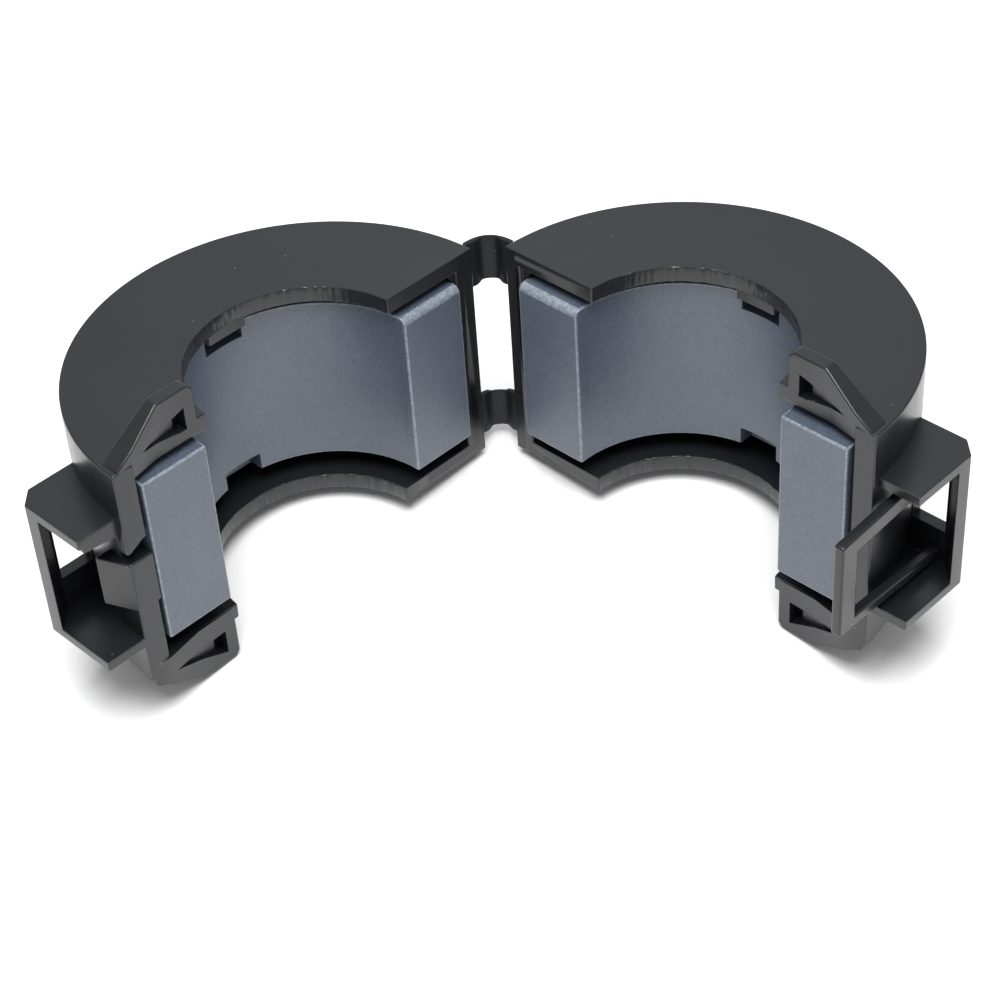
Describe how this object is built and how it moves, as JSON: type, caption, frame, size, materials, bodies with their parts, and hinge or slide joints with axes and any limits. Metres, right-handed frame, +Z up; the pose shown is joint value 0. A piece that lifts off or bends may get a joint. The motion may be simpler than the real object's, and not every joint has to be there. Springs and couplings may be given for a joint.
{
  "type": "clip on ferrite bead",
  "caption": "Hinged nylon case with half-ring ferrite cores that snaps shut round a cable to damp high-frequency noise.",
  "frame": {"origin": "middle of the bounding box, on the surface that the open clamp stands on", "axes": "+Z up, +X towards the catch side, +Y towards the hinge; the bore axes lean back 8.7 degrees from +Z, as the clamp comes to rest"},
  "size_m": [0.0938, 0.0514, 0.0373],
  "materials": {
    "case": "moulded black nylon, semi-matt",
    "core": "sintered and ground ferrite, blue-grey, fine grain"
  },
  "bodies": {
    "hook_half": {"hook_side_case": "case", "hook_side_core": "core", "upper_hinge_strap": "case", "lower_hinge_strap": "case"},
    "catch_half": {"catch_side_case": "case", "catch_side_core": "core"},
    "catch": {"catch_frame": "case"}
  },
  "joints": [
    {"name": "hinge", "type": "hinge", "parent": "hook_half", "child": "catch_half", "pos_m": [0, 0.01695, 0.01471], "axis": [0, -0.1508, -0.9886], "range_deg": [-39, 91], "deforming": ["upper_hinge_strap", "lower_hinge_strap"]},
    {"name": "catch_flex", "type": "hinge", "parent": "catch_half", "child": "catch", "pos_m": [0.04456, -0.01259, 0.01846], "axis": [0, 0.1508, 0.9886], "range_deg": [0, 6], "stiffness_Nm_per_rad": 0.9}
  ]
}
